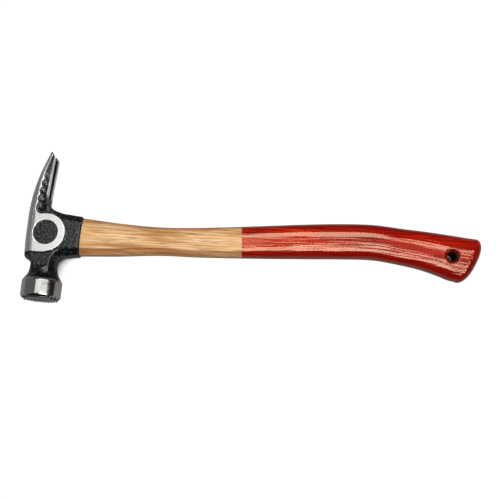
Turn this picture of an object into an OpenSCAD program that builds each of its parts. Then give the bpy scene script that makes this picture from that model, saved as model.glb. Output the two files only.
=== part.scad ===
// Framing hammer with a forged steel head and a curved wooden handle.
// The hammer lies on its side: the handle runs along X with the head at the low end,
// the striking face looks to -Y, the claw points to +Y and one cheek looks up.

/* [Poll] */
// Distance from the handle's axis to the striking face
face_reach = 64.8; // [60:0.2:70]
// Diameter of the ground poll
poll_d = 38; // [36:0.5:42]
// Length of the ground poll, from the striking face to its shoulder
poll_len = 16.4; // [13:0.2:18]
// Diameter of the milled striking face
face_d = 32.6; // [29:0.2:34]
// Length of the bevel between the face and the side of the poll
face_bevel_len = 3.8; // [2:0.2:5]
// Length of the sloped shoulder between the poll and the neck
shoulder_len = 5.6; // [4:0.2:7]
// Distance between two rows of teeth on the milled face
tooth_pitch = 2.7; // [2.4:0.1:3.4]
// Depth of the grooves between the teeth
tooth_depth = 1; // [0.5:0.1:1.2]

/* [Cheeks and neck] */
// Distance from the head's axis to the flat top of the head
top_reach = 19.5; // [18.5:0.5:23]
// Thickness of the head across its ground cheeks
cheek_t = 28; // [26.5:0.5:32]
// Height that the ground cheeks stand above the forged body
cheek_rise = 2; // [1:0.2:2.6]
// Diameter of the round boss on each cheek
boss_d = 37.5; // [33:0.5:39]
// Distance of the boss from the head's axis, towards the handle
boss_offset = 0.2; // [0:0.2:3]
// Diameter of the sunk roundel in each boss
roundel_d = 23.6; // [18:0.2:26]
// Depth of the sunk roundel
roundel_depth = 0.8; // [0.4:0.1:1.2]
// Width of the bevel along the top edges of the head, seen on the cheek
ridge_w = 5.5; // [4:0.5:6]
// Height of the bevel along the top edges of the head, seen from the top
ridge_h = 4.5; // [3:0.5:5]
// Distance from the handle's axis to the heel, where the body steps in to the neck
heel_reach = 24; // [22.5:0.5:26]
// Length of the slope between the heel and the neck
heel_slope = 4.8; // [3:0.2:6]
// Distance from the handle's axis to the lower border of the ground cheek
cheek_low = 19.8; // [18.5:0.2:21]
// Width of the neck, along the handle
neck_w = 23.8; // [22:0.2:27]
// Distance of the neck's middle from the head's axis, away from the handle
neck_offset = 0.5; // [0:0.1:1]
// Width of the neck's corner bevels on the cheek side
neck_bevel = 3; // [2:0.2:4]
// Height of the neck's corner bevels
neck_bevel_h = 6; // [3:0.5:7]

/* [Collar and eye] */
// Distance from the head's axis to the collar's rim
collar_reach = 33.2; // [29:0.2:38]
// Height of the collar at its rim
collar_h = 38.4; // [36:0.2:42]
// Height that the collar gains on each side from its rim to the cheek
collar_swell = 1.8; // [0.6:0.2:3]
// Lean of the collar's rim, in degrees
rim_lean = 1; // [0:0.5:7]
// Radius between the neck and the collar
throat_r = 8.5; // [6:0.5:9.5]
// Width of the collar's corner bevels on the cheek side
collar_bevel = 6.4; // [4:0.2:7]
// Height of the collar's corner bevels
collar_bevel_h = 4.6; // [3:0.2:5.4]
// Height of the eye, along the head's axis
eye_h = 28.6; // [24:0.2:30]
// Thickness of the eye at the rim
eye_t = 15; // [13:0.2:16]
// Gain in the eye's thickness from the rim to the top of the head
eye_flare = 1; // [0:0.1:1.4]

/* [Claw] */
// Distance from the handle's axis to the tips of the claw
claw_reach = 81.4; // [77:0.2:90]
// Distance from the handle's axis to the start of the claw's curve
claw_curve_start = 15; // [12:0.5:17]
// Thickness of the claw at its tips, before they are sharpened
tip_t = 3.3; // [2.4:0.1:4.4]
// Length of the bevel that sharpens the tips on the underside
tip_bevel = 5; // [3:0.5:7]
// Thickness of the edge that is left at the tips
tip_edge = 0.7; // [0.5:0.1:1.2]
// Distance from the head's axis to the claw's underside at the tip
under_tip = 0.6; // [0.2:0.2:1.8]
// Distance from the head's axis to the claw's underside at its root
under_root = 3.6; // [2.6:0.2:5]
// Distance from the handle's axis to the claw's root
claw_root = 28.6; // [27:0.2:31]
// Width of the top bevel where it ends at the tips
ridge_tip_w = 1.6; // [0.8:0.2:2.4]
// Width of the nail slot between the tips
slot_tip_w = 10.4; // [8.6:0.2:12]
// Width of the nail slot at its round end
slot_root_w = 7.4; // [5:0.2:8.4]
// Distance from the handle's axis to the end of the nail slot
slot_end = 36; // [33:0.5:42]
// Number of scallops along the ground strip
scallops = 5; // [3:1:5]
// Distance between two scallops
scallop_pitch = 7.7; // [7:0.1:8]
// Radius of a scallop
scallop_r = 5.5; // [4.6:0.1:6]
// Distance from the handle's axis to the first scallop
scallop_start = 25.4; // [24.5:0.1:27]
// Width of the claw's back that is left beside the first scallop
strip_root_w = 7.4; // [7:0.2:8.4]
// Width of the claw's back that is left beside the last scallop
strip_tip_w = 5.2; // [4.4:0.2:6]

/* [Handle] */
// Length of the handle from the collar's rim to its last full section
handle_len = 375.8; // [330:0.2:430]
// Height of the handle at the collar
shoulder_h = 37.6; // [34:0.2:38.2]
// Height of the handle at its waist
waist_h = 27.8; // [25:0.2:32]
// Height of the handle at the middle of the grip
grip_h = 34.9; // [31:0.2:38]
// Height of the handle at the butt, along its slanted end
butt_h = 48.2; // [42:0.2:52]
// Thickness of the handle at the collar
shoulder_t = 22.4; // [20:0.2:24]
// Thickness of the handle at its waist
waist_t = 19.6; // [17:0.2:22]
// Thickness of the handle at the grip
grip_t = 22.8; // [20:0.2:26]
// Thickness of the handle at the butt
butt_t = 24.8; // [22:0.2:28]
// Rise of the grip above the axis of the eye
grip_rise = 15.6; // [8:0.2:20]
// Rise of the butt's middle above the axis of the eye
butt_rise = 4.2; // [0:0.2:8]
// Slant of the butt's end, in degrees
butt_lean = 26; // [10:1:30]
// Height of the butt's domed end
butt_dome = 10.4; // [6:0.2:12]
// Diameter of the hang hole
hang_d = 9.6; // [7:0.1:11]
// Diameter of the bevelled mouths of the hang hole
hang_mouth_d = 15.4; // [12:0.1:17]
// Distance from the hang hole to the last full section of the handle
hang_back = 15.6; // [13:0.2:22]
// Distance from the hang hole's axis to the axis of the eye
hang_rise = 5.4; // [2:0.2:9]

/* [Wedges] */
// Thickness of the wooden wedge at the top of the head
kerf_t = 4.4; // [3:0.1:5]
// Thickness of the wooden wedge at its buried edge
kerf_edge_t = 1.2; // [0.8:0.1:1.6]
// Depth of the wooden wedge in the tenon
kerf_depth = 34; // [26:0.5:40]
// Thickness of a steel wedge at the top of the head
steel_t = 2.6; // [2:0.1:3.2]
// Thickness of a steel wedge at its buried edge
steel_edge_t = 0.8; // [0.5:0.1:1.2]
// Width of a steel wedge
steel_w = 11; // [9:0.2:12]
// Depth of a steel wedge
steel_depth = 18; // [14:0.5:22]
// Distance of a steel wedge from the middle of the eye
steel_offset = 7; // [5:0.2:8]

/* [Hidden] */
$fn = 64;

// Gap between two pieces that are driven together
fit = 0.08;
// Length by which a cut runs past the face that it opens
over = 1;
// Steps along the claw's back, the throat, the handle and its domed end
back_steps = 10;
throat_steps = 6;
handle_steps = 5;
dome_steps = 7;
handle_sides = 28;
// Shape of the claw's back: the power of its curve
back_power = 1.85;
// Shape of the handle's section and of its domed end, where 2 is an ellipse
section_power = 2.6;
dome_power = 2.3;
// Places of the collar's upper line, as shares of the collar's reach and of the claw's root
collar_bend_share = 0.42;
root_bend_share = 0.04;
root_bend_height_share = 0.84;
// Corner between the strip and the boss, as shares of a scallop's radius and of their distance
corner_share = 0.95;
corner_step_share = 0.25;
// End of the land under the boss, as shares of the boss and of the land's distance
land_end_share = 0.25;
land_slope_share = 0.866;
// Place of the forged body's back inside the strip, as a share of the claw's thickness
core_share = 0.35;
// Middle of the forged body's flat sides, as a share of the top's reach
cap_middle_share = 0.4;
// Small bevel along the forged body's sharp edges
edge_bevel = 0.6;

body_t = cheek_t - 2 * cheek_rise;
claw_sweep = top_reach - under_tip - tip_t;
ridge_tan = ridge_w / ridge_h;
ridge_angle = atan(ridge_tan);
rim_shift = tan(rim_lean);

function blend(a, b, k) = a + (b - a) * k;
function back_part(y) = max(0, (y - claw_curve_start) / (claw_reach - claw_curve_start));
function back_x(y) = -top_reach + claw_sweep * pow(back_part(y), back_power);
function strip_bevel(y) = blend(ridge_w, ridge_tip_w, back_part(y));
function under_x(y) = -blend(under_root, under_tip, (y - claw_root) / (claw_reach - claw_root));
back_rows = [for (i = [0:back_steps]) blend(claw_reach, claw_curve_start, i / back_steps)];
ridge_rows = [for (i = [-1:back_steps]) blend(claw_reach, claw_curve_start, (i + 1 / 2) / back_steps)];

// Outline of the forged body: place, width and height of the corner bevel at each point.
// Its back lies inside the strip of the ground cheeks, which makes the back of the claw.
neck_low_x = -neck_w / 2 - neck_offset;
neck_high_x = neck_w / 2 - neck_offset;
throat_x = neck_high_x + throat_r;
collar_low = collar_h / 2 + collar_swell;
function core_x(y) = blend(back_x(y), under_x(y), core_share);
body_outline = concat(
    [[core_x(claw_reach), claw_reach - edge_bevel, edge_bevel, edge_bevel]],
    [for (y = back_rows) if (y > claw_root && y < claw_reach) [core_x(y), y, edge_bevel, edge_bevel]],
    [[core_x(claw_root), claw_root, edge_bevel, edge_bevel]],
    [[core_x(claw_root), 0, edge_bevel, edge_bevel]],
    [[neck_low_x, -cheek_low, neck_bevel, neck_bevel_h]],
    [[neck_low_x, -face_reach + poll_len, neck_bevel, neck_bevel_h]],
    [[neck_high_x, -face_reach + poll_len, neck_bevel, neck_bevel_h]],
    [for (i = [0:throat_steps])
        let (a = 180 - 90 * i / throat_steps, k = i / throat_steps)
        [throat_x + throat_r * cos(a), -collar_low - throat_r + throat_r * sin(a),
         blend(neck_bevel, collar_bevel, k), blend(neck_bevel_h, collar_bevel_h, k)]],
    [[collar_reach - collar_h / 2 * rim_shift, -collar_h / 2, collar_bevel, collar_bevel_h]],
    [[collar_reach + collar_h / 2 * rim_shift, collar_h / 2, collar_bevel, collar_bevel_h]],
    [[collar_reach * collar_bend_share, collar_low, collar_bevel, collar_bevel_h]],
    [[collar_reach * root_bend_share, claw_root * root_bend_height_share, neck_bevel, cheek_rise]],
    [[-under_root, claw_root, edge_bevel, edge_bevel]],
    [[-under_tip, claw_reach - edge_bevel, edge_bevel, edge_bevel]]);

// Points of the outline moved in by their bevels, along the middle of the two edges' normals
function flat(p) = [p[0], p[1]];
function unit2(v) = v / norm(v);
function edge_normal(a, b) = unit2([a[1] - b[1], b[0] - a[0]]);
function inset(pts, i) =
    let (n = len(pts), a = edge_normal(flat(pts[(i + n - 1) % n]), flat(pts[i])),
         b = edge_normal(flat(pts[i]), flat(pts[(i + 1) % n])))
    flat(pts[i]) + (a + b) / (1 + a * b) * pts[i][2];

// A rim point keeps its place along the handle, so that the rim stays one flat face
function on_rim(p) = abs(p[1]) == collar_h / 2;
function bevelled(pts, i) = on_rim(pts[i])
    ? flat(pts[i]) - sign(pts[i][1]) * pts[i][2] * [rim_shift, 1]
    : inset(pts, i);

// Solid between the bevelled outlines of the two cheek sides
module forged_body() {
    n = len(body_outline);
    z1 = body_t / 2;
    rows = [[for (i = [0:n - 1]) [each bevelled(body_outline, i), -z1]],
            [for (p = body_outline) [p[0], p[1], -z1 + p[3]]],
            [for (p = body_outline) [p[0], p[1], z1 - p[3]]],
            [for (i = [0:n - 1]) [each bevelled(body_outline, i), z1]]];
    points = [for (row = rows) each row, for (z = [-z1, z1]) [-top_reach * cap_middle_share, 0, z]];
    sides = [for (k = [0:2], i = [0:n - 1])
        let (j = (i + 1) % n)
        each [[k * n + i, (k + 1) * n + i, k * n + j], [k * n + j, (k + 1) * n + i, (k + 1) * n + j]]];
    caps = [for (i = [0:n - 1])
        let (j = (i + 1) % n)
        each [[i, j, 4 * n], [3 * n + j, 3 * n + i, 4 * n + 1]]];
    polyhedron(points, concat(sides, caps), convexity = 8);
}

// Round poll with its sloped shoulder and face bevel, along the head's axis
module poll() {
    neck_r = min(neck_w, body_t) / 2 - neck_bevel;
    translate([0, -face_reach, 0]) rotate([-90, 0, 0]) rotate_extrude()
        polygon([[0, 0], [face_d / 2, 0], [poll_d / 2, face_bevel_len], [poll_d / 2, poll_len],
                 [neck_r, poll_len + shoulder_len], [0, poll_len + shoulder_len]]);
}

// Two crossing sets of V grooves that leave rows of pointed teeth on the face
module face_grooves() {
    rows = floor(face_d / tooth_pitch / 2);
    for (turn = [0, 90]) translate([0, -face_reach, 0]) rotate([0, turn, 0])
        for (i = [-rows:rows]) translate([i * tooth_pitch, 0, 0])
            linear_extrude(poll_d, center = true)
                polygon([[-tooth_pitch / 2, 0], [0, tooth_depth], [tooth_pitch / 2, 0], [0, -tooth_depth]]);
}

// Outline of the ground cheek: the strip along the claw's back, the boss and the land under it
module cheek_outline() {
    corner_r = scallop_r * corner_share;
    last_y = scallop_start + scallop_pitch * (scallops - 1 / 2);
    first_x = back_x(scallop_start) + strip_root_w;
    corner_y = scallop_start - scallop_pitch * corner_step_share;
    difference() {
        union() {
            polygon(concat(
                [for (y = back_rows) [back_x(y), y]],
                [[-top_reach, -cheek_low], [boss_offset, -cheek_low],
                 [boss_offset + boss_d * land_end_share, -cheek_low * land_slope_share],
                 [boss_offset, 0], [boss_offset, boss_d / 2],
                 [first_x + corner_r, corner_y - corner_r],
                 [first_x + corner_r * corner_step_share, corner_y]],
                [for (k = [0:scallops - 1]) scallop_place(k) - [scallop_r / 2, 0]],
                [[under_x(last_y) - strip_tip_w / 2, last_y],
                 [-under_tip - ridge_tip_w / 2, claw_reach]]));
            translate([boss_offset, 0]) circle(d = boss_d);
        }
        for (k = [0:scallops - 1]) translate(scallop_place(k)) circle(scallop_r);
        translate([first_x + corner_r, corner_y]) circle(corner_r);
    }
}

function scallop_place(k) =
    let (y = scallop_start + scallop_pitch * k, part = k / (scallops - 1))
    [back_x(y) + blend(strip_root_w, strip_tip_w, part) + scallop_r, y];

// Block under the sloped bevel that runs along one top edge of the head and the claw's back
module ridge_limit(side) {
    far = claw_reach + face_reach;
    rotate([0, side * ridge_angle, 0]) linear_extrude(far, center = true)
        polygon(concat(
            [for (y = ridge_rows)
                [(back_x(y) + strip_bevel(y)) * cos(ridge_angle) - cheek_t / 2 * sin(ridge_angle), y]],
            [[(ridge_w - top_reach) * cos(ridge_angle) - cheek_t / 2 * sin(ridge_angle), -far],
             [far, -far], [far, ridge_rows[0]]]));
}

// Heel under the ground cheek, where the top of the head steps in to the neck
module heel_outline() {
    inner_y = -heel_reach - heel_slope * top_reach / (top_reach + neck_low_x);
    polygon([[-top_reach, -cheek_low + cheek_rise], [-top_reach, -heel_reach],
             [0, inner_y], [0, -cheek_low + cheek_rise]]);
}

module cheeks() {
    intersection() {
        union() {
            linear_extrude(cheek_t, center = true) cheek_outline();
            linear_extrude(body_t - cheek_rise, center = true) heel_outline();
        }
        ridge_limit(1);
        ridge_limit(-1);
    }
}

// Through eye, also the shape of the tenon: flat sides that spread to the top, round ends
module eye_shape(grow, x_low, x_high) {
    end_r = (eye_t + eye_flare) / 2;
    straight = eye_h - 2 * end_r;
    length = x_high - x_low;
    function half_t(x) = (eye_t + eye_flare * (collar_reach - x) / (collar_reach + top_reach)) / 2 + grow;
    intersection() {
        translate([x_low, 0, 0]) rotate([90, 0, 90]) linear_extrude(length) {
            square([straight, 2 * (end_r + grow)], center = true);
            for (side = [-1, 1]) translate([side * straight / 2, 0]) circle(end_r + grow);
        }
        rotate([90, 0, 0]) linear_extrude(2 * eye_h, center = true)
            polygon([[x_low, -half_t(x_low)], [x_high, -half_t(x_high)],
                     [x_high, half_t(x_high)], [x_low, half_t(x_low)]]);
    }
}

// Nail slot, open at the tips and round at its end
module nail_slot() {
    end_r = slot_root_w / 2;
    translate([-top_reach - over, 0, 0]) rotate([90, 0, 90]) linear_extrude(top_reach + over) {
        polygon([[slot_end + end_r, -end_r], [claw_reach, -slot_tip_w / 2],
                 [claw_reach + over, -slot_tip_w / 2], [claw_reach + over, slot_tip_w / 2],
                 [claw_reach, slot_tip_w / 2], [slot_end + end_r, end_r]]);
        translate([slot_end + end_r, 0]) circle(end_r);
    }
}

// Bevel on the underside that sharpens the tips
module tip_cut() {
    start = [under_x(claw_reach - tip_bevel), claw_reach - tip_bevel];
    end = [back_x(claw_reach) + tip_edge, claw_reach];
    out = unit2(end - start) * over;
    linear_extrude(2 * cheek_t, center = true)
        polygon([start - out, end + out, [over, claw_reach + over], [over, claw_reach - tip_bevel - over]]);
}

// Sections of the handle: place along it, rise, height, thickness and lean of each section
along_shares = [0, 0.1, 0.205, 0.31, 0.44, 0.57, 0.675, 0.758, 0.83, 0.888, 0.939, 0.977, 1];
rise_shares = [0, 0, 0.09, 0.21, 0.45, 0.72, 0.92, 1];
fall_shares = [0.8, 0.595, 0.325, 0.085, 0];
shoulder_shares = [1, 0.46, 0, 0, 0, 0, 0, 0];
grip_shares = [0, 0, 0, 0.2, 0.55, 0.88, 1, 1];
butt_shares = [0.08, 0.25, 0.54, 0.84, 1];
lean_shares = [0.08, 0.27, 0.56, 0.81, 1];
stations = concat(
    [for (i = [0:len(rise_shares) - 1])
        [collar_reach + fit + handle_len * along_shares[i], grip_rise * rise_shares[i],
         waist_h + (shoulder_h - waist_h) * shoulder_shares[i] + (grip_h - waist_h) * grip_shares[i],
         waist_t + (shoulder_t - waist_t) * shoulder_shares[i] + (grip_t - waist_t) * grip_shares[i],
         i == 0 ? rim_lean : 0]],
    [for (i = [0:len(fall_shares) - 1])
        [collar_reach + fit + handle_len * along_shares[len(rise_shares) + i],
         blend(butt_rise, grip_rise, fall_shares[i]), blend(grip_h, butt_h, butt_shares[i]),
         blend(grip_t, butt_t, butt_shares[i]), butt_lean * lean_shares[i]]]);

// Smooth curve through the sections, by the slopes of their neighbours
function spline(a, b, c, d, k) =
    (2 * b + (c - a) * k + (2 * a - 5 * b + 4 * c - d) * k * k + (3 * b - a - 3 * c + d) * k * k * k) / 2;
function station(i) = stations[max(0, min(len(stations) - 1, i))];
sections = concat(
    [for (i = [0:len(stations) - 2], j = [0:handle_steps - 1])
        i == 0 && j == 0 ? station(0)
        : spline(station(i - 1), station(i), station(i + 1), station(i + 2), j / handle_steps)],
    [for (i = [0:dome_steps - 1])
        let (s = station(len(stations) - 1), a = 90 * i / dome_steps,
             out = butt_dome * pow(sin(a), 2 / dome_power), size = pow(cos(a), 2 / dome_power))
        [s[0] + out * cos(s[4]), s[1] - out * sin(s[4]), s[2] * size, s[3] * size, s[4]]]);
function bow(c) = sign(c) * pow(abs(c), 2 / section_power);
function section_point(s, j) =
    let (a = 360 * j / handle_sides, y = s[2] / 2 * bow(cos(a)), z = s[3] / 2 * bow(sin(a)))
    [s[0] + y * sin(s[4]), s[1] + y * cos(s[4]), z];
function dome_tip(s) = [s[0] + butt_dome * cos(s[4]), s[1] - butt_dome * sin(s[4]), 0];

module grip_body() {
    rings = len(sections);
    first = sections[0];
    points = concat([for (s = sections, j = [0:handle_sides - 1]) section_point(s, j)],
                    [dome_tip(station(len(stations) - 1)), [first[0], first[1], 0]]);
    sides = [for (i = [0:rings - 2], j = [0:handle_sides - 1])
        let (a = i * handle_sides + j, b = i * handle_sides + (j + 1) % handle_sides)
        each [[a, a + handle_sides, b], [b, a + handle_sides, b + handle_sides]]];
    last = (rings - 1) * handle_sides;
    tip = [for (j = [0:handle_sides - 1]) [last + (j + 1) % handle_sides, last + j, rings * handle_sides]];
    end = [for (j = [0:handle_sides - 1]) [j, (j + 1) % handle_sides, rings * handle_sides + 1]];
    polyhedron(points, concat(end, sides, tip), convexity = 6);
}

// Hang hole with a bevelled mouth on each side of the butt
module hang_hole() {
    bevel = (hang_mouth_d - hang_d) / 2;
    translate([collar_reach + handle_len - hang_back, hang_rise, 0]) {
        cylinder(d = hang_d, h = 2 * butt_t, center = true);
        for (side = [0, 1]) mirror([0, 0, side]) translate([0, 0, butt_t / 2 - bevel])
            cylinder(d1 = hang_d, d2 = hang_mouth_d + 2 * over, h = bevel + over);
    }
}

// Outline of a wedge, thick at the top of the head, which a cut passes by the given length
module wedge_outline(thick, edge, depth, grow, out) {
    top = thick / 2 + grow + (thick - edge) / 2 * out / depth;
    low = edge / 2 + grow;
    polygon([[-top_reach - out, -top], [depth - top_reach + grow, -low],
             [depth - top_reach + grow, low], [-top_reach - out, top]]);
}

// Wooden wedge that splits the tenon along the head's axis
module wood_wedge_shape(grow, out) {
    rotate([90, 0, 0]) linear_extrude(2 * eye_h, center = true)
        wedge_outline(kerf_t, kerf_edge_t, kerf_depth, grow, out);
}

// Steel wedge driven across the wooden one
module steel_wedge_shape(side, grow, out) {
    translate([0, side * steel_offset, 0]) linear_extrude(steel_w + 2 * grow, center = true)
        wedge_outline(steel_t, steel_edge_t, steel_depth, grow, out);
}

// The origin lies under the middle of the whole hammer's box
butt_high = max([for (s = sections, j = [0:handle_sides - 1]) section_point(s, j)[0]]);
origin_x = (butt_high - top_reach) / 2;
origin_y = (claw_reach - face_reach) / 2;
module placed() {
    translate([-origin_x, -origin_y, poll_d / 2]) children();
}

module head() {
    color("#4a4a4c") placed() difference() {
        union() {
            forged_body();
            poll();
            cheeks();
        }
        eye_shape(fit, -top_reach - over, collar_reach + collar_h * rim_shift + over);
        nail_slot();
        tip_cut();
        face_grooves();
        for (side = [0, 1]) mirror([0, 0, side])
            translate([boss_offset, 0, cheek_t / 2 - roundel_depth])
                cylinder(d = roundel_d, h = roundel_depth + over);
    }
}

module handle() {
    color("#b5432e") placed() difference() {
        union() {
            grip_body();
            eye_shape(0, -top_reach, collar_reach + collar_h / 2);
        }
        hang_hole();
        wood_wedge_shape(fit, over);
        for (side = [-1, 1]) steel_wedge_shape(side, fit, over);
    }
}

module wood_wedge() {
    color("#d8b383") placed() difference() {
        intersection() {
            wood_wedge_shape(0, 0);
            eye_shape(0, -top_reach, collar_reach);
        }
        for (side = [-1, 1]) steel_wedge_shape(side, fit, over);
    }
}

module steel_wedge_face_side() {
    color("#8a8d90") placed() steel_wedge_shape(-1, 0, 0);
}

module steel_wedge_claw_side() {
    color("#8a8d90") placed() steel_wedge_shape(1, 0, 0);
}

head();
handle();
wood_wedge();
steel_wedge_face_side();
steel_wedge_claw_side();
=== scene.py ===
import math

import bpy
import numpy as np
from mathutils import Matrix, Vector


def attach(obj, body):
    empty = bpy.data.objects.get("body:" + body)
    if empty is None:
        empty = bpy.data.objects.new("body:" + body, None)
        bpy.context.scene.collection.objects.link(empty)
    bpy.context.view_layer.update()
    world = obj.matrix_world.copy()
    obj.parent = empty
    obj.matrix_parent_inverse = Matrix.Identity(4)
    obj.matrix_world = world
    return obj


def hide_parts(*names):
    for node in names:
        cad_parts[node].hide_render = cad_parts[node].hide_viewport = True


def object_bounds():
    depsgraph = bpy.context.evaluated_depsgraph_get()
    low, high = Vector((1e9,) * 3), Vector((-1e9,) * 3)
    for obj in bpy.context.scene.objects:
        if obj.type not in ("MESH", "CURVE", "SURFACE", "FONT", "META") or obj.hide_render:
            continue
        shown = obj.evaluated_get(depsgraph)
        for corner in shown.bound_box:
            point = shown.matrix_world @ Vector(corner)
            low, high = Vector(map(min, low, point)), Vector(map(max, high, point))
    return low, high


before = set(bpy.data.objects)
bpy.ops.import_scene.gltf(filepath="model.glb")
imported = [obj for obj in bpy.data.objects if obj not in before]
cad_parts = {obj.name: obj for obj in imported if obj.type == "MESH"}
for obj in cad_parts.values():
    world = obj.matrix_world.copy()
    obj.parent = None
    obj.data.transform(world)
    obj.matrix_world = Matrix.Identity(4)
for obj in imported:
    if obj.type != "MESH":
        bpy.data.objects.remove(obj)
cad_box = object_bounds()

# HEAD
# One forging of tool steel: round poll, neck, cheeks, collar with the eye, and a straight split claw.
# The forged skin is black. The cheeks with their claw strips, the poll and the tines' undersides are
# ground bright. The handle's tenon is wedged in its eye.

# lengths are in millimetres about the crossing of the handle's axis and the head's axis, which lies here
HEAD_PLACE = np.array([-202.154, -8.3, 19.0])
TOP_X, CHEEK_Z, BODY_Z = -19.5, 14.0, 12.0
CLAW_Y, CLAW_START_Y, CLAW_ROOT_Y = 81.4, 15.0, 28.6
CLAW_SWEEP, CLAW_POWER = 15.6, 1.85
CROWN_Y, CROWN_DROP, CROWN_LEN, CROWN_POWER = -4.0, 1.1, 20.0, 1.6
UNDER_TIP_X, UNDER_ROOT_X = -0.6, -3.6
TIP_BEVEL, TIP_EDGE = 5.0, 0.7
RIDGE_W, RIDGE_TIP_W, RIDGE_SLOPE = 5.5, 1.6, 4.5 / 5.5
RIDGE_ROUND, RIDGE_TIP_ROUND, RIDGE_ROUND_Y = 2.0, 0.5, (25, 62)
BOSS_X, BOSS_R, ROUNDEL_R, ROUNDEL_DEPTH = 0.2, 18.75, 11.8, 0.8
CHEEK_LOW_Y, HEEL_Y, HEEL_SLOPE = -19.8, -24.0, 4.8
LAND_FOOT_X, LAND_FOOT_SHARE, LAND_TIP = 9.4, 0.866, 0.8
NECK_LOW_X, NECK_HIGH_X = -12.4, 11.4
COLLAR_X, COLLAR_Y, RIM_LEAN, RIM_BEVEL = 33.2, 21.0, math.tan(math.radians(1)), 0.9
COLLAR_OUTLINE = [(-10, -COLLAR_Y), (19.9, -COLLAR_Y), (42, -17.93), (42, 18.42), (13.94, COLLAR_Y),
                  (1.33, 24.02), (UNDER_ROOT_X, CLAW_ROOT_Y), (-10, CLAW_ROOT_Y)]
SCALLOPS, SCALLOP_PITCH, SCALLOP_R, SCALLOP_Y, CORNER_SHARE = 5, 7.7, 5.5, 25.4, 0.95
SCOOP_R, SCOOP_Z = 6.2, 16.4
STRIP_ROOT_W, STRIP_TIP_W = 7.4, 5.2
SLOT_END_Y, SLOT_ROOT_R, SLOT_TIP_R = 36.0, 3.7, 5.2
FACE_Y, FACE_R, POLL_R, FACE_BEVEL = -64.8, 16.3, 19.0, 3.8
POLL_PROFILE = [(-30, FACE_Y), (FACE_R, FACE_Y), (POLL_R, FACE_Y + FACE_BEVEL), (POLL_R, -46.6),
                (16.7, -43.2), (14.7, -40.2), (13.6, -37), (12.6, -33), (-30, -33)]
TOOTH_PITCH, TOOTH_H, TOOTH_TURN = 2.7, 1.3, math.radians(8.5)
EYE_H, EYE_T, EYE_FLARE = 28.6, 15.0, 1.0
FIT = 0.08
# forged bevels, across the outline and down the side: everywhere, and what collar and neck have more
EDGE_BEVEL, COLLAR_BEVEL, NECK_BEVEL = (0.8, 0.8), (5.4, 4.0), (2.2, 5.6)
COLLAR_FROM_X, COLLAR_TO_Y, NECK_FROM_Y = (2, 14), (30, 22), (-16, -22)
# how far edges are rounded, and the radii of the fillets
CRISP, CUT, EDGE, SOFT, BEVEL_ROUND, ROUNDEL_ROUND = 0.3, 0.4, 0.5, 0.8, 1.0, 0.25
THROAT_R, HEEL_R, CLAW_FILLET, LAND_FILLET, POLL_FILLET = 8.5, 1.5, 0.9, 0.4, 1.6
# outlines reach past the edges that later cut them off
PAST, PAST_TOP_X, PAST_FACE_Y, DEEP = 4, TOP_X - 9, -70, -9
HEAD_LOW, HEAD_HIGH, HEAD_CELL = (-21, -66, -20.4), (36, 82.8, 20.4), 0.52


def meet(a, b, k):
    """Common part of two forms, with its edges rounded over about k."""
    h = np.maximum(k - np.abs(a - b), 0) / k
    return np.maximum(a, b) + h * h * k / 4


def join(a, b, k):
    """Two forms as one, with the corners between them filled over about k."""
    return -meet(-a, -b, k)


def join_round(a, b, r):
    """Two forms as one, with a fillet of radius r between them."""
    return np.maximum(r, np.minimum(a, b)) - np.hypot(np.maximum(r - a, 0), np.maximum(r - b, 0))


def ease(low, high, v):
    """Smooth step from 0 at low to 1 at high."""
    t = np.clip((v - low) / (high - low), 0, 1)
    return t * t * (3 - 2 * t)


def outline(x, y, points):
    """Distance to a closed outline, negative inside it."""
    x, y = np.broadcast_arrays(x, y)
    near = np.full(x.shape, 1e9)
    inside = np.zeros(x.shape, bool)
    for (x0, y0), (x1, y1) in zip(points, points[1:] + points[:1]):
        ex, ey = x1 - x0, y1 - y0
        t = np.clip(((x - x0) * ex + (y - y0) * ey) / (ex * ex + ey * ey), 0, 1)
        near = np.minimum(near, (x - x0 - ex * t) ** 2 + (y - y0 - ey * t) ** 2)
        if ey:
            inside ^= ((y0 <= y) != (y1 <= y)) & (x < x0 + (y - y0) / ey * ex)
    return np.where(inside, -1, 1) * np.sqrt(near)


def claw_share(y):
    """How far along the claw a point lies: 0 where its sweep starts, 1 at the tips."""
    return np.maximum(0, (y - CLAW_START_Y) / (CLAW_Y - CLAW_START_Y))


def back_x(y):
    """Top of the head: crowned over the heel, then a curve down to the tips of the claw."""
    crown = CROWN_DROP * np.maximum(0, (CROWN_Y - y) / CROWN_LEN) ** CROWN_POWER
    return TOP_X + crown + CLAW_SWEEP * claw_share(y) ** CLAW_POWER


def under_x(y):
    """Underside of the claw, straight from its root to the tips."""
    return UNDER_ROOT_X + (UNDER_TIP_X - UNDER_ROOT_X) * (y - CLAW_ROOT_Y) / (CLAW_Y - CLAW_ROOT_Y)


def scallop(k):
    """Middle of one of the round bites along the claw's strip."""
    y = SCALLOP_Y + SCALLOP_PITCH * k
    return back_x(y) + STRIP_ROOT_W + (STRIP_TIP_W - STRIP_ROOT_W) * k / (SCALLOPS - 1) + SCALLOP_R, y


def ridge_form(x, y, z):
    """Sloped bevel along the top edges, which runs out towards the tips."""
    width = RIDGE_W + (RIDGE_TIP_W - RIDGE_W) * claw_share(y)
    lean = math.hypot(1, RIDGE_SLOPE)
    return ((back_x(y) + width - x) * RIDGE_SLOPE + np.abs(z) - CHEEK_Z) / lean


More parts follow.
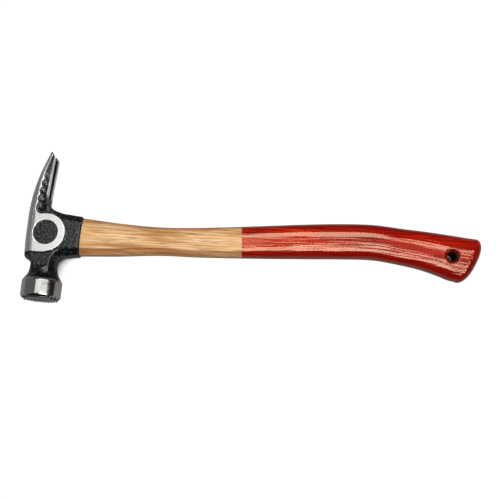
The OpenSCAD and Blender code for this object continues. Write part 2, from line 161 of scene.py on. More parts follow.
def land_outline(x, y):
    """Ground cheek: the strip along the claw with its scallops, the boss and the land under it."""
    rows = np.linspace(CLAW_Y + PAST, CLAW_START_Y, 16)
    last_y = SCALLOP_Y + SCALLOP_PITCH * (SCALLOPS - 0.5)
    first_x = back_x(SCALLOP_Y) + STRIP_ROOT_W
    corner_r = SCALLOP_R * CORNER_SHARE
    corner_y = SCALLOP_Y - SCALLOP_PITCH / 4
    strip = [(back_x(r) - PAST, r) for r in rows]
    strip += [(TOP_X - PAST, CHEEK_LOW_Y), (BOSS_X, CHEEK_LOW_Y),
              (BOSS_X + LAND_FOOT_X, CHEEK_LOW_Y * LAND_FOOT_SHARE), (BOSS_X, 0), (BOSS_X, BOSS_R),
              (first_x + corner_r, corner_y - corner_r), (first_x + corner_r / 4, corner_y)]
    strip += [(scallop(k)[0] - SCALLOP_R / 2, scallop(k)[1]) for k in range(SCALLOPS)]
    strip += [(under_x(last_y) - STRIP_TIP_W / 2, last_y), (UNDER_TIP_X - LAND_TIP, CLAW_Y),
              (UNDER_TIP_X - LAND_TIP, CLAW_Y + PAST)]
    land = np.minimum(outline(x, y, strip), np.hypot(x - BOSS_X, y) - BOSS_R)
    for k in range(SCALLOPS):
        cx, cy = scallop(k)
        land = meet(land, SCALLOP_R - np.hypot(x - cx, y - cy), EDGE)
    return meet(land, corner_r - np.hypot(x - first_x - corner_r, y - corner_y), EDGE)


def eye_form(x, y, z, grow):
    """Through eye, which is also the tenon's form: flat sides that spread to the top, round ends."""
    end_r = (EYE_T + EYE_FLARE) / 2
    stadium = np.hypot(np.maximum(np.abs(y) - (EYE_H / 2 - end_r), 0), z) - end_r
    half_t = (EYE_T + EYE_FLARE * (COLLAR_X - x) / (COLLAR_X - TOP_X)) / 2
    return np.maximum(stadium, np.abs(z) - half_t) - grow


def head_form(x, y, z):
    """Distance to the head's surface, negative inside the steel."""
    az = np.abs(z)
    # forged body: outline of neck, collar, claw and heel, which overlap inside, bevelled to the flat sides
    neck = outline(x, y, [(NECK_LOW_X, PAST_FACE_Y), (NECK_HIGH_X, PAST_FACE_Y), (NECK_HIGH_X, 0),
                          (NECK_LOW_X, 0)])
    collar = outline(x, y, COLLAR_OUTLINE)
    claw = outline(x, y, [(under_x(CLAW_Y + PAST), CLAW_Y + PAST), (PAST_TOP_X, CLAW_Y + PAST),
                          (PAST_TOP_X, 5), (UNDER_ROOT_X, 5), (UNDER_ROOT_X, CLAW_ROOT_Y)])
    heel = outline(x, y, [(PAST_TOP_X, 30), (PAST_TOP_X, HEEL_Y), (TOP_X, HEEL_Y),
                          (NECK_LOW_X, HEEL_Y - HEEL_SLOPE), (0, HEEL_Y - HEEL_SLOPE), (0, 28)])
    plan = join_round(neck, collar, THROAT_R)
    plan = join_round(join_round(plan, claw, CLAW_FILLET), heel, HEEL_R)
    on_collar = ease(*COLLAR_FROM_X, x) * ease(*COLLAR_TO_Y, y)
    on_neck = ease(*NECK_FROM_Y, y) * (1 - on_collar)
    bevel_w = EDGE_BEVEL[0] + COLLAR_BEVEL[0] * on_collar + NECK_BEVEL[0] * on_neck
    bevel_h = EDGE_BEVEL[1] + COLLAR_BEVEL[1] * on_collar + NECK_BEVEL[1] * on_neck
    side = az - BODY_Z
    bevel = (plan * bevel_h + (side + bevel_h) * bevel_w) / np.hypot(bevel_w, bevel_h)
    # scoops beside the claw's strip, where the cutter went in
    for k in range(SCALLOPS):
        cx, cy = scallop(k)
        scoop = np.sqrt((x - cx) ** 2 + (y - cy) ** 2 + (az - SCOOP_Z) ** 2) - SCOOP_R
        side = meet(side, -scoop, EDGE)
    body = meet(meet(plan, side, SOFT), bevel, BEVEL_ROUND)
    rim = (x - COLLAR_X - y * RIM_LEAN) / math.hypot(1, RIM_LEAN)
    body = meet(meet(body, rim, CRISP), (body + rim + RIM_BEVEL) * math.sqrt(0.5), CRISP)
    # ground cheeks with their bosses, and the bevel along the top edges
    land = meet(land_outline(x, y), az - CHEEK_Z, CRISP)
    form = join_round(body, land, LAND_FILLET)
    slope = CLAW_SWEEP * CLAW_POWER / (CLAW_Y - CLAW_START_Y) * claw_share(y) ** (CLAW_POWER - 1)
    form = meet(form, (back_x(y) - x) / np.hypot(1, slope), EDGE)
    ridge_round = RIDGE_ROUND - (RIDGE_ROUND - RIDGE_TIP_ROUND) * ease(*RIDGE_ROUND_Y, y)
    form = meet(form, ridge_form(x, y, z), ridge_round)
    # tips, cut off square and sharpened from the underside
    start_x, start_y = under_x(CLAW_Y - TIP_BEVEL), CLAW_Y - TIP_BEVEL
    tip_dx, tip_dy = back_x(CLAW_Y) + TIP_EDGE - start_x, TIP_BEVEL
    sharpened = ((x - start_x) * tip_dy - (y - start_y) * tip_dx) / math.hypot(tip_dx, tip_dy)
    sharpened = np.where(y > CLAW_Y - 2 * TIP_BEVEL, sharpened, DEEP)
    form = meet(meet(form, y - CLAW_Y, CRISP), sharpened, CRISP)
    # round poll with its flared shoulder, flat to receive the teeth
    form = join(form, outline(np.hypot(x, z), y, POLL_PROFILE), POLL_FILLET)
    form = np.maximum(form, FACE_Y + TOOTH_H - y)
    # nail slot, eye and roundels
    slot_y = SLOT_END_Y + SLOT_ROOT_R
    slot_r = SLOT_ROOT_R + (SLOT_TIP_R - SLOT_ROOT_R) * (y - slot_y) / (CLAW_Y - slot_y)
    slot = np.where(y > slot_y, az - slot_r, np.hypot(y - slot_y, z) - SLOT_ROOT_R)
    form = meet(meet(form, -slot, CUT), -eye_form(x, y, z, FIT), CUT)
    roundel = np.maximum(np.hypot(x - BOSS_X, y) - ROUNDEL_R, CHEEK_Z - ROUNDEL_DEPTH - az)
    return meet(form, -roundel, ROUNDEL_ROUND)


def skin(form, low, high, step):
    """Closed mesh of a form's surface: one point in each grid cell that the surface crosses."""
    axes = [np.arange(a, b + step, step) for a, b in zip(low, high)]
    field = form(axes[0][:, None, None], axes[1][None, :, None], axes[2][None, None, :])
    grad = np.stack(np.gradient(field, step), -1)
    cells = np.array(field.shape) - 1
    total, count, quads = np.zeros((3, cells.prod())), np.zeros(cells.prod()), []
    for a in range(3):
        b, c = (a + 1) % 3, (a + 2) % 3
        here, there = [slice(None)] * 3, [slice(None)] * 3
        here[a], there[a] = slice(0, -1), slice(1, None)
        f0, f1 = field[tuple(here)], field[tuple(there)]
        crossed = (f0 < 0) != (f1 < 0)
        at = np.argwhere(crossed)
        point = at.astype(float)
        point[:, a] += f0[crossed] / (f0[crossed] - f1[crossed])
        corners = []
        for db, dc in ((1, 1), (0, 1), (0, 0), (1, 0)):
            cell = at.copy()
            cell[:, b] -= db
            cell[:, c] -= dc
            flat = np.ravel_multi_index(cell.T, cells)
            corners.append(flat)
            count += np.bincount(flat, minlength=count.size)
            for k in range(3):
                total[k] += np.bincount(flat, point[:, k], minlength=count.size)
        quad = np.stack(corners, 1)
        quads.append(np.where((f0[crossed] < 0)[:, None], quad, quad[:, ::-1]))
    used = np.flatnonzero(count)
    number = np.full(count.size, -1)
    number[used] = np.arange(used.size)
    spot = (total[:, used] / count[used]).T
    # each point is then drawn onto the true surface, along the field's slope
    near = np.minimum(np.round(spot).astype(int), np.array(field.shape) - 1)
    slope = grad[near[:, 0], near[:, 1], near[:, 2]]
    slope /= np.maximum((slope ** 2).sum(1, keepdims=True), 0.2)
    points = np.array([ax[0] for ax in axes]) + spot * step
    for _ in range(2):
        pull = np.clip(form(points[:, 0], points[:, 1], points[:, 2]), -step / 2, step / 2)
        points -= slope * pull[:, None]
    return points, number[np.concatenate(quads)]


def mesh_piece(name, points, faces):
    """New object at the origin, with its points in metres at their place in the hammer."""
    mesh = bpy.data.meshes.new(name)
    inside = np.clip((points + HEAD_PLACE) / 1000, *np.array([list(v) for v in cad_box]))
    mesh.from_pydata(inside.tolist(), [], faces.tolist())
    mesh.shade_smooth()
    piece = bpy.data.objects.new(name, mesh)
    bpy.context.scene.collection.objects.link(piece)
    return piece


def mark(piece, name, values):
    """Keep a value for each point of a piece, for its material to read."""
    piece.data.attributes.new(name, "FLOAT", "POINT").data.foreach_set("value", values)


points, faces = skin(head_form, HEAD_LOW, HEAD_HIGH, HEAD_CELL)
head = mesh_piece("forged_head", points, faces)

# where the forging is ground bright beside the cheeks: top bevels, poll and undersides of the tines
BEVEL_DEPTH, BEVEL_LOW_Y, BEVEL_TIP_Y = (-0.7, -0.3), (CHEEK_LOW_Y - 0.3, CHEEK_LOW_Y + 0.3), (79.4, 77.6)
POLL_TOP_Y, POLL_FACE_Y = (-44.8, -45.8), (FACE_Y + TOOTH_H + 0.2, FACE_Y + TOOTH_H + 0.6)
TINE_DEPTH, TINE_ROOT_Y, TINE_EDGE_Z = (-0.9, -0.4), (34, 40), (11.4, 10.8)
px, py, pz = points.T
top_bevel = ease(*BEVEL_DEPTH, ridge_form(px, py, pz)) * ease(*BEVEL_LOW_Y, py)
poll = ease(*POLL_TOP_Y, py) * ease(*POLL_FACE_Y, py)
slot_r = SLOT_ROOT_R + (SLOT_TIP_R - SLOT_ROOT_R) * ease(SLOT_END_Y, CLAW_Y, py)
under = ease(*TINE_DEPTH, px - under_x(py)) * ease(*TINE_ROOT_Y, py)
# beside the nail slot the undersides stay black for about a millimetre, as painted shade that widens the
# slot's dark gap
under *= ease(slot_r + 0.3, slot_r + 0.9, np.abs(pz))
under *= ease(*TINE_EDGE_Z, pz)
mark(head, "ground", np.maximum.reduce([top_bevel * ease(*BEVEL_TIP_Y, py), poll, under]))
mark(head, "filed", under)
# past the last scallop the land beside a straight line to the tips is left black like the forged skin
TIP_LINE_Y, TIP_LINE_X, TIP_BLACK_START_Y, TIP_LINE_EDGE = (59.5, 78.0), (-6.9, -1.9), (58.6, 59.4), (-0.25, 0.25)
mark(head, "black_tip_land", ease(*TIP_LINE_EDGE, px - np.interp(py, TIP_LINE_Y, TIP_LINE_X)) * ease(*TIP_BLACK_START_Y, py))


def add(tree, kind, settings=None, **inputs):
    """New node; its inputs, by name or as _number, get values or the outputs that feed them."""
    node = tree.nodes.new(kind)
    for key, value in (settings or {}).items():
        setattr(node, key, value)
    for key, value in inputs.items():
        socket = node.inputs[int(key[1:]) if key[0] == "_" else key.replace("_", " ")]
        if isinstance(value, bpy.types.NodeSocket):
            tree.links.new(value, socket)
        else:
            socket.default_value = value
    return node


def finish_material(name):
    """New material with its shader, whose inputs the caller feeds."""
    material = bpy.data.materials.new(name)
    material.use_nodes = True
    tree = material.node_tree
    shader = tree.nodes["Principled BSDF"]
    place = tree.nodes.new("ShaderNodeTexCoord").outputs["Object"]
    return material, tree, shader, place


def feed(tree, shader, **values):
    """Link a shader's inputs to the outputs that drive them."""
    for name, value in values.items():
        tree.links.new(value, shader.inputs[name.replace("_", " ")])


def marked(tree, name, output="Fac"):
    """Value that was kept for each point of the piece."""
    return add(tree, "ShaderNodeAttribute", {"attribute_name": name}).outputs[output]


def noise(tree, place, scale, detail=3.0, rough=0.55, stretch=(1, 1, 1)):
    """Fine random pattern; scale is in spots to the metre, and a small stretch draws it out."""
    mapped = add(tree, "ShaderNodeMapping", Vector=place, Scale=stretch).outputs[0]
    return add(tree, "ShaderNodeTexNoise", Vector=mapped, Scale=scale, Detail=detail,
               Roughness=rough).outputs["Fac"]


def spread(tree, value, low, high, out_low=0.0, out_high=1.0):
    """Value mapped from low and high to out_low and out_high, and held there beyond."""
    return add(tree, "ShaderNodeMapRange", Value=value, From_Min=low, From_Max=high, To_Min=out_low,
               To_Max=out_high).outputs[0]


def math_node(tree, operation, a, b=0.0):
    return add(tree, "ShaderNodeMath", {"operation": operation}, _0=a, _1=b).outputs[0]


def times(tree, a, b):
    return math_node(tree, "MULTIPLY", a, b)


def blend(tree, fac, a, b):
    """Colour a, or b where fac is 1."""
    return add(tree, "ShaderNodeMix", {"data_type": "RGBA"}, _0=fac, _6=a, _7=b).outputs[2]


def mix_value(tree, fac, a, b):
    """Number a, or b where fac is 1."""
    return add(tree, "ShaderNodeMix", _0=fac, _2=a, _3=b).outputs[0]


FORGED_BLACK, FORGED_GREY = (0.0015, 0.0015, 0.0016, 1), (0.03, 0.03, 0.031, 1)
CHEEK_DARK, CHEEK_LIGHT = (0.66, 0.65, 0.625, 1), (0.77, 0.76, 0.735, 1)
POLL_DARK, POLL_LIGHT = (0.405, 0.396, 0.377, 1), (0.53, 0.52, 0.497, 1)
FILED_STEEL, GROOVE_SHADE = (0.85, 0.84, 0.81, 1), (0.01, 0.01, 0.01, 1)
FORGED_ROUGH, CHEEK_ROUGH, POLL_ROUGH, FILED_ROUGH = (0.25, 0.15), (0.26, 0.38), (0.15, 0.2), 0.45
FILED_DULL, LINE_RELIEF, FORGED_RELIEF = 0.6, 0.05, 0.0007
# in metres in the hammer: the cheeks' height, their ends at the tips and the neck, and the poll's start
CHEEK_LIFT, CHEEK_TIP_Y, CHEEK_FOOT_Y = (0.0134, 0.0137), (0.0712, 0.0694), (-0.033, -0.031)
ON_POLL_Y, GROOVE_RUN_OUT = (-0.050, -0.052), (0.0032, 0.0026)


def forged_and_ground():
    material, tree, shader, place = finish_material("forged_and_ground_steel")
    axes = add(tree, "ShaderNodeSeparateXYZ", Vector=place).outputs
    # only the cheeks stand this far from the head's middle plane between the poll and the tips
    lift = math_node(tree, "ABSOLUTE", math_node(tree, "SUBTRACT", axes["Z"], HEAD_PLACE[2] / 1000))
    between = times(tree, spread(tree, axes["Y"], *CHEEK_TIP_Y), spread(tree, axes["Y"], *CHEEK_FOOT_Y))
    cheek = times(tree, spread(tree, lift, *CHEEK_LIFT), between)
    cheek = times(tree, cheek, math_node(tree, "SUBTRACT", 1.0, marked(tree, "black_tip_land")))
    filed = marked(tree, "filed")
    bright = math_node(tree, "MAXIMUM", cheek, marked(tree, "ground"))
    dark = math_node(tree, "SUBTRACT", 1.0, bright)
    on_poll = spread(tree, axes["Y"], *ON_POLL_Y)
    speckle = noise(tree, place, 430, detail=2, rough=0.5)
    patch = noise(tree, place, 110)
    forged = blend(tree, spread(tree, speckle, 0.5, 0.7), FORGED_BLACK, FORGED_GREY)
    # grinding lines run along the head on the cheeks and around the poll
    along = noise(tree, place, 420, detail=4, rough=0.6, stretch=(1, 0.06, 1))
    around = noise(tree, place, 420, detail=4, rough=0.6, stretch=(0.05, 1, 0.05))
    lines = mix_value(tree, on_poll, along, around)
    steel = blend(tree, spread(tree, lines, 0.3, 0.7), CHEEK_DARK, CHEEK_LIGHT)
    steel = blend(tree, on_poll, steel, blend(tree, lines, POLL_DARK, POLL_LIGHT))
    steel = blend(tree, filed, steel, FILED_STEEL)
    # the cutter's grooves run out over the rounded edge of the face, drawn there as black stripes of painted
    # shade
    across = math_node(tree, "SUBTRACT", times(tree, axes["X"], math.cos(TOOTH_TURN)),
                       times(tree, axes["Z"], math.sin(TOOTH_TURN)))
    groove = math_node(tree, "PINGPONG", math_node(tree, "DIVIDE", across, TOOTH_PITCH / 1000), 0.5)
    edge_y = (HEAD_PLACE[1] + FACE_Y) / 1000
    at_edge = spread(tree, axes["Y"], edge_y + GROOVE_RUN_OUT[0], edge_y + GROOVE_RUN_OUT[1])
    steel = blend(tree, times(tree, spread(tree, groove, 0.2, 0.3), at_edge), steel, GROOVE_SHADE)
    # ground steel is rougher where its lines and patches are lighter
    wear = math_node(tree, "ADD", lines, patch)
    steel_rough = mix_value(tree, on_poll, spread(tree, wear, 0.7, 1.3, *CHEEK_ROUGH),
                            spread(tree, wear, 0.7, 1.3, *POLL_ROUGH))
    steel_rough = mix_value(tree, filed, steel_rough, FILED_ROUGH)
    relief = math_node(tree, "ADD", times(tree, speckle, dark),
                       times(tree, times(tree, lines, bright), LINE_RELIEF))
    feed(tree, shader, Base_Color=blend(tree, bright, forged, steel),
         Metallic=math_node(tree, "SUBTRACT", bright, times(tree, filed, FILED_DULL)),
         Roughness=mix_value(tree, bright, spread(tree, speckle, 0.35, 0.7, *FORGED_ROUGH), steel_rough),
         Normal=add(tree, "ShaderNodeBump", Strength=0.75, Distance=FORGED_RELIEF, Height=relief).outputs[0])
    return material


head.data.materials.append(forged_and_ground())
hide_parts("head")
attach(head, "root")

# MILLED FACE
# Rows of pointed teeth that a cutter leaves on the striking face, so that it doesn't slip off a nail.
# They are bright at their points, and the grooves between them are painted black as painted shade.
TOOTH_GROOVE_SHADE, TOOTH_BRIGHT, TOOTH_METAL = (0.008, 0.008, 0.008, 1), (0.36, 0.355, 0.345, 1), 0.5
TOOTH_BASE_SHARE, TOOTH_TIP_SHARE, TOOTH_OVER_EDGE = 0.74, 0.3, 1.1


def tooth_tree():
    """Grid of blunt four-sided teeth on a round face, with the sockets that take its sizes."""
    tree = bpy.data.node_groups.new("milled_teeth", "GeometryNodeTree")
    pins = tree.interface
    pins.new_socket("Geometry", in_out="INPUT", socket_type="NodeSocketGeometry")
    ids = {}
    for label in ("Pitch", "Height", "Face Radius", "Base Share", "Tip Share"):
        ids[label] = pins.new_socket(label, in_out="INPUT", socket_type="NodeSocketFloat").identifier
    ids["Finish"] = pins.new_socket("Finish", in_out="INPUT", socket_type="NodeSocketMaterial").identifier
    pins.new_socket("Geometry", in_out="OUTPUT", socket_type="NodeSocketGeometry")
    given = tree.nodes.new("NodeGroupInput").outputs
    pitch, tall, radius = given["Pitch"], given["Height"], given["Face Radius"]
    rows = times(tree, math_node(tree, "FLOOR", math_node(tree, "DIVIDE", radius, pitch)), 2.0)
    side = times(tree, math_node(tree, "SUBTRACT", rows, 1.0), pitch)
    grid = add(tree, "GeometryNodeMeshGrid", Size_X=side, Size_Y=side, Vertices_X=rows, Vertices_Y=rows)
    # teeth that would stand past the face's edge are left out
    spot = tree.nodes.new("GeometryNodeInputPosition").outputs[0]
    away = add(tree, "ShaderNodeVectorMath", {"operation": "LENGTH"}, _0=spot).outputs["Value"]
    last = math_node(tree, "SUBTRACT", radius, times(tree, pitch, 0.4))
    outside = add(tree, "FunctionNodeCompare", {"operation": "GREATER_THAN"}, _0=away, _1=last).outputs[0]
    kept = add(tree, "GeometryNodeDeleteGeometry", {"domain": "POINT"}, Geometry=grid.outputs[0],
               Selection=outside).outputs[0]
    half_diagonal = times(tree, pitch, math.sqrt(0.5))
    tooth = add(tree, "GeometryNodeMeshCone", {"fill_type": "NGON"}, Vertices=4, Side_Segments=1,
                Radius_Top=times(tree, half_diagonal, given["Tip Share"]),
                Radius_Bottom=times(tree, half_diagonal, given["Base Share"]), Depth=tall).outputs[0]
    turned = add(tree, "GeometryNodeTransform", Geometry=tooth, Rotation=(0, 0, math.pi / 4)).outputs[0]
    placed = add(tree, "GeometryNodeInstanceOnPoints", Points=kept, Instance=turned).outputs[0]
    whole = add(tree, "GeometryNodeRealizeInstances", Geometry=placed).outputs[0]
    out = add(tree, "GeometryNodeSetMaterial", Geometry=whole, Material=given["Finish"]).outputs[0]
    tree.links.new(out, tree.nodes.new("NodeGroupOutput").inputs[0])
    return tree, ids


def tooth_finish():
    material, tree, shader, place = finish_material("milled_steel")
    along = add(tree, "ShaderNodeSeparateXYZ", Vector=place).outputs["Y"]
    face = (FACE_Y + HEAD_PLACE[1]) / 1000
    # the lower part of each tooth, down in the grooves, is painted black as painted shade; grime varies the
    # bright points
    point = spread(tree, along, face + TOOTH_H / 1000 * 0.7, face + TOOTH_H / 1000 * 0.45)
    grime = noise(tree, place, 500)
    bright_tips = times(tree, point, spread(tree, grime, 0.25, 0.6, 0.6, 1.0))
    feed(tree, shader, Base_Color=blend(tree, bright_tips, TOOTH_GROOVE_SHADE, TOOTH_BRIGHT),
         Roughness=spread(tree, grime, 0.3, 0.7, 0.3, 0.45),
         Normal=add(tree, "ShaderNodeBump", Strength=0.2, Distance=0.0002, Height=grime).outputs[0])
    shader.inputs["Metallic"].default_value = TOOTH_METAL
    return material


def grown(name, tree, values):
    """Plain mesh of what a tree makes, on a new object."""
    seed = bpy.data.objects.new(name + "_seed", bpy.data.meshes.new(name + "_seed"))
    bpy.context.scene.collection.objects.link(seed)
    maker = seed.modifiers.new("make", "NODES")
    maker.node_group = tree
    for key, value in values.items():
        maker[key] = value
    bpy.context.view_layer.update()
    mesh = bpy.data.meshes.new_from_object(seed.evaluated_get(bpy.context.evaluated_depsgraph_get()))
    bpy.data.objects.remove(seed)
    mesh.name = name
    piece = bpy.data.objects.new(name, mesh)
    bpy.context.scene.collection.objects.link(piece)
    return piece


tree, ids = tooth_tree()
teeth = grown("milled_teeth", tree, {
    ids["Pitch"]: TOOTH_PITCH / 1000, ids["Height"]: TOOTH_H / 1000,
    ids["Face Radius"]: (FACE_R + TOOTH_OVER_EDGE) / 1000, ids["Base Share"]: TOOTH_BASE_SHARE,
    ids["Tip Share"]: TOOTH_TIP_SHARE, ids["Finish"]: tooth_finish()})
to_face = Matrix.Translation(Vector((HEAD_PLACE + (0, FACE_Y + TOOTH_H, 0)) / 1000))
teeth.data.transform(to_face @ Matrix.Rotation(math.pi / 2, 4, "X") @ Matrix.Rotation(-TOOTH_TURN, 4, "Z"))
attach(teeth, "root")

# HANDLE
# One piece of hickory: a tenon in the eye, a waist behind the collar, a grip that swings up and a
# flared butt with a bevelled hang hole. The bare end has a clear satin coat, the grip a red gloss coat.
HANDLE_X, HANDLE_LEN, TENON_ROOT = COLLAR_X + FIT, 375.8, 8
STATION_SHARES = (0, 0.1, 0.205, 0.31, 0.44, 0.57, 0.675, 0.758, 0.83, 0.888, 0.939, 0.977, 1)
RISES = (0, 0, 1.4, 3.28, 7.02, 11.23, 14.35, 15.6, 13.32, 10.98, 7.9, 5.17, 4.2)
HEIGHTS = (37.6, 32.31, 27.8, 29.22, 31.7, 34.05, 34.9, 34.9, 35.96, 38.23, 42.08, 46.07, 48.2)
THICKS = (22.4, 20.89, 19.6, 20.24, 21.36, 22.42, 22.8, 22.8, 22.96, 23.3, 23.88, 24.48, 24.8)
LEANS = (1, 0, 0, 0, 0, 0, 0, 0, 2.08, 7.02, 14.56, 21.06, 26)
BUTT_DOME, DOME_POWER, SECTION_POWER = 10.4, 2.3, 2.6
HANG_X, HANG_Y, HANG_R, HANG_MOUTH_R = 393.4, 5.4, 4.8, 7.7
MOUTH_Z, MOUTH_DEPTH, MOUTH_LEAN = 9.5, 2.9, 0.75
KERF_T, KERF_EDGE_T, KERF_DEPTH = 4.4, 1.2, 34.0
STEEL_T, STEEL_EDGE_T, STEEL_W, STEEL_DEPTH, STEEL_Y = 2.6, 0.8, 11.0, 18.0, 7.0
HANDLE_LOW, HANDLE_HIGH, HANDLE_CELL = (-21, -23, -14), (426, 36, 14), 0.76


def stations(steps=40):
    """Smooth rows through the handle's sections: place, rise, half height, half thickness, lean."""
    rows = np.stack([HANDLE_X + HANDLE_LEN * np.array(STATION_SHARES), RISES, np.array(HEIGHTS) / 2,
                     np.array(THICKS) / 2, np.radians(LEANS)], 1)
    rows = np.concatenate([rows[:1], rows, rows[-1:]])
    k = np.linspace(0, 1, steps, endpoint=False)[:, None]
    out = [(2 * b + (c - a) * k + (2 * a - 5 * b + 4 * c - d) * k ** 2 + (3 * b - a - 3 * c + d) * k ** 3) / 2
           for a, b, c, d in zip(rows, rows[1:], rows[2:], rows[3:])]
    return np.concatenate(out + [rows[-1:]])


handle_rows = stations()


def handle_section(x, y):
    """Section through a point: how far past the last one it lies, its height in it, and its half sizes."""
    x, y = np.broadcast_arrays(x, y)
    flat_x, flat_y = x.ravel(), y.ravel()
    rx, ry, _, _, lean = handle_rows.T
    place = np.zeros(flat_x.size)
    # in parts, because each point is set against every row
    for part in np.array_split(np.arange(flat_x.size), max(1, flat_x.size // 20000)):
        ahead = ((flat_x[part, None] - rx) * np.cos(lean) - (flat_y[part, None] - ry) * np.sin(lean))
        first = np.clip((ahead > 0).sum(1), 1, rx.size - 1)
        g0 = np.take_along_axis(ahead, first[:, None] - 1, 1)[:, 0]
        g1 = np.take_along_axis(ahead, first[:, None], 1)[:, 0]
        place[part] = first - 1 + np.clip(g0 / np.where(g0 == g1, 1, g0 - g1), 0, 1)
    row = np.stack([np.interp(place, np.arange(rx.size), column) for column in handle_rows.T])
    past = (flat_x - row[0]) * np.cos(row[4]) - (flat_y - row[1]) * np.sin(row[4])
    high = (flat_x - row[0]) * np.sin(row[4]) + (flat_y - row[1]) * np.cos(row[4])
    return [v.reshape(x.shape) for v in (past, high, row[2], row[3])]


def wedge_form(x, across, thick, edge, depth):
    """Wedge from the top of the head down, measured across its thickness."""
    half = (thick - (thick - edge) * np.clip((x - TOP_X) / depth, 0, 1)) / 2
    return np.maximum(np.abs(across) - half, x - TOP_X - depth)


def handle_form(x, y, z):
    """Distance to the handle's surface, negative inside the wood."""
    past, high, half_h, half_t = handle_section(x, y)
    oval = (np.abs(high) / half_h) ** SECTION_POWER + (np.abs(z) / half_t) ** SECTION_POWER
    ring = oval ** (1 / SECTION_POWER)
    dome = (np.maximum(past, 0) / BUTT_DOME) ** DOME_POWER
    grip = ((ring ** DOME_POWER + dome) ** (1 / DOME_POWER) - 1) * np.minimum(half_h, half_t)
    rim = (x - HANDLE_X - y * RIM_LEAN) / math.hypot(1, RIM_LEAN)
    grip = meet(grip, -rim, SOFT)
    hole_r = HANG_R + (HANG_MOUTH_R - HANG_R) * np.clip((np.abs(z) - MOUTH_Z) / MOUTH_DEPTH, 0, 1.3)
    hole = (np.hypot(x - HANG_X, y - HANG_Y) - hole_r) * MOUTH_LEAN
    grip = meet(grip, -hole, EDGE)
    # tenon, with the kerf and the cuts that its wedges lie in
    tenon = np.maximum(eye_form(x, y, z, 0), np.maximum(TOP_X - x, x - HANDLE_X - TENON_ROOT))
    tenon = np.maximum(tenon, -wedge_form(x, z, KERF_T, KERF_EDGE_T, KERF_DEPTH) + FIT)
    for side in (-1, 1):
        steel = np.maximum(wedge_form(x, y - side * STEEL_Y, STEEL_T, STEEL_EDGE_T, STEEL_DEPTH),
                           np.abs(z) - STEEL_W / 2)
        tenon = np.maximum(tenon, -steel + FIT)
    return np.minimum(grip, tenon)


points, faces = skin(handle_form, HANDLE_LOW, HANDLE_HIGH, HANDLE_CELL)
handle = mesh_piece("hickory_handle", points, faces)

# what the coats follow: the butt's end, the height in the section, the run of the grip and the hang hole
px, py, pz = points.T
past, high, half_h, _ = handle_section(px, py)
mark(handle, "butt_end", ease(1, 9, past))
mark(handle, "level", high / half_h)
flow = np.stack([px, high, pz], 1) / 1000
handle.data.attributes.new("flow", "FLOAT_VECTOR", "POINT").data.foreach_set("vector", flow.ravel())
hole_r = np.hypot(px - HANG_X, py - HANG_Y)
in_mouth = ease(HANG_MOUTH_R + 0.5, HANG_MOUTH_R - 0.3, hole_r)
in_bore = ease(HANG_R + 0.7, HANG_R + 0.1, hole_r)
mark(handle, "hole", (in_mouth + in_bore) / 2)

WOOD_DARK, WOOD_MID, WOOD_PALE = (0.38, 0.155, 0.045, 1), (0.61, 0.35, 0.142, 1), (0.75, 0.525, 0.29, 1)
RING_BROWN, PORE_BROWN, BORDER_BROWN = (0.27, 0.09, 0.025, 1), (0.24, 0.085, 0.025, 1), (0.22, 0.07, 0.02, 1)
HEART_AND_SHADE_DARK, HEART_AND_SHADE_PALE, COLLAR_AMBER_LIT = (0.24, 0.08, 0.022, 1), (0.54, 0.235, 0.08, 1), (0.76, 0.40, 0.12, 1)
RED_GRIP, RED_FRONT = (0.365, 0.009, 0.003, 1), (0.56, 0.036, 0.009, 1)
RED_GRAIN, RED_RING, RED_EDGE_SHADE = (0.19, 0.003, 0.001, 1), (0.11, 0.002, 0.0007, 1), (0.17, 0.002, 0.001, 1)
RED_BUTT_SHADE, RED_MOUTH_SHADE, BORE_SHADE = (0.05, 0.002, 0.001, 1), (0.13, 0.002, 0.001, 1), (0.004, 0.001, 0.001, 1)
SATIN_ROUGH, GLOSS_ROUGH, BORE_ROUGH = (0.3, 0.42), (0.06, 0.11), 0.7
COAT_IOR, COAT_TINT, COAT_RELIEF = 1.65, (1.0, 0.68, 0.47, 1), 0.0005
# in metres in the hammer, along the handle: the red coat's edge and its paler front, and the amber end, which
# is partly painted light
RED_START, RED_PALER, LIT_AMBER_END = (-0.0130, -0.0127), (0.12, -0.02), (-0.152, -0.166)
RED_LEAN, RING_ACROSS, RINGS_PER_METRE, RING_SWAY = 0.07, (0, 0.85, 0.5), 380.0, 9.0
LONG, LONGER = (0.16, 1, 1), (0.05, 1, 1)  # how far the grain is drawn out along the handle


